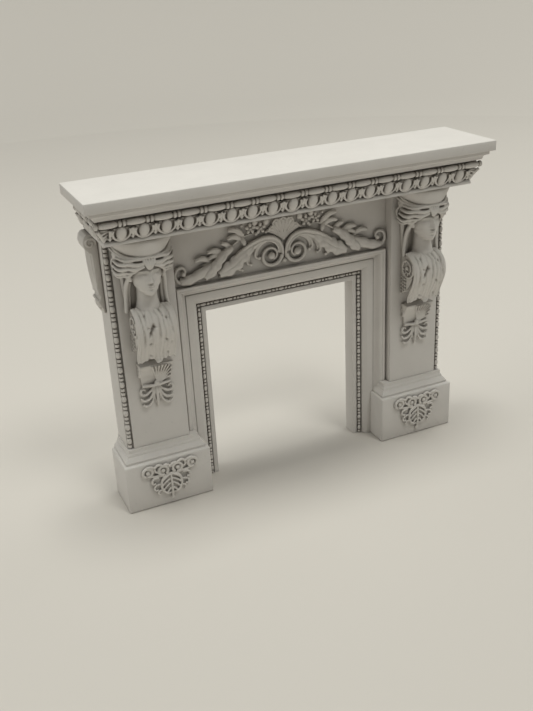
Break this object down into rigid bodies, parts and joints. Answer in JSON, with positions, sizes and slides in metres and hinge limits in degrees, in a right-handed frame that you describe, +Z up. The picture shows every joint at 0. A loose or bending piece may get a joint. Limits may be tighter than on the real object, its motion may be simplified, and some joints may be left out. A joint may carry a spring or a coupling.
{
  "type": "miniature fireplace mantel",
  "caption": "Dolls' house chimneypiece: shelf on an egg-and-dart cornice, carved frieze, pilasters with caryatid consoles, plinths and a pearl-edged surround.",
  "frame": {"origin": "middle of the shelf's plan, on the floor plane under the plinths", "axes": "+X to the right seen from the front, the front faces -Y, the flat back faces +Y, +Z up"},
  "size_m": [0.15, 0.032, 0.1206],
  "materials": {
    "plain_white": "matt warm white paint on cast resin, smooth flat faces with a faint grain",
    "carved_white": "matt warm white paint on cast resin relief, slightly greyer in the hollows",
    "washed_pearls": "matt warm white pearls with a dark brown antique wash in the grooves"
  },
  "bodies": {
    "root": {"architrave_head": "plain_white", "architrave_left": "plain_white", "architrave_right": "plain_white", "bead_reel_front": "carved_white", "bead_reel_left": "carved_white", "bead_reel_right": "carved_white", "bed_mould_front": "plain_white", "bed_mould_left": "plain_white", "bed_mould_right": "plain_white", "caryatid_head_left": "carved_white", "caryatid_head_right": "carved_white", "console_scroll_left": "carved_white", "console_scroll_right": "carved_white", "console_shell_left": "carved_white", "console_shell_right": "carved_white", "cornice_bearer": "plain_white", "cornice_foot_front": "plain_white", "cornice_foot_left": "plain_white", "cornice_foot_right": "plain_white", "egg_dart_front": "carved_white", "egg_dart_left": "carved_white", "egg_dart_right": "carved_white", "frieze_palmette": "carved_white", "frieze_panel": "plain_white", "frieze_scroll_left": "carved_white", "frieze_scroll_right": "carved_white", "frieze_spray_left": "carved_white", "frieze_spray_right": "carved_white", "palmette_drop_left": "carved_white", "palmette_drop_right": "carved_white", "pearl_strip_left": "washed_pearls", "pearl_strip_right": "washed_pearls", "pilaster_left": "plain_white", "pilaster_right": "plain_white", "plinth_block_left": "plain_white", "plinth_block_right": "plain_white", "plinth_cap_left": "plain_white", "plinth_cap_right": "plain_white", "plinth_ornament_left": "carved_white", "plinth_ornament_right": "carved_white", "shelf_board": "plain_white", "side_bracket_left": "carved_white", "side_bracket_right": "carved_white", "slip_head": "plain_white", "slip_left": "plain_white", "slip_pearls_head": "washed_pearls", "slip_pearls_left": "washed_pearls", "slip_pearls_right": "washed_pearls", "slip_right": "plain_white"}
  },
  "joints": []
}
